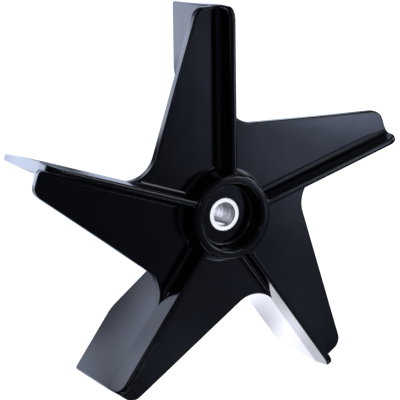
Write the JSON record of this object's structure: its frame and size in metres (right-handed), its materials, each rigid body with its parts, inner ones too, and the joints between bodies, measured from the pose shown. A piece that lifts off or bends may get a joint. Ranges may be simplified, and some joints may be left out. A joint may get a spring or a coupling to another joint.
{
  "type": "open star impeller",
  "caption": "Open star impeller: flat radial blades behind a star plate, low ribs in front, a round hub cup and a moulded-in metal bush with a D-shaped bore.",
  "frame": {"origin": "on the shaft axis, at the impeller's centroid, 23.9 mm in front of the bush's rear face", "axes": "+Z along the shaft axis and out of the hub cup; +Y along one blade; +X completes the right-handed frame"},
  "size_m": [0.3345, 0.321, 0.0951],
  "materials": {
    "black_plastic": "glossy moulded black",
    "bush_metal": "machined face, reamed bore"
  },
  "bodies": {
    "root": {"impeller_moulding": "black_plastic", "shaft_bush": "bush_metal"}
  },
  "joints": []
}
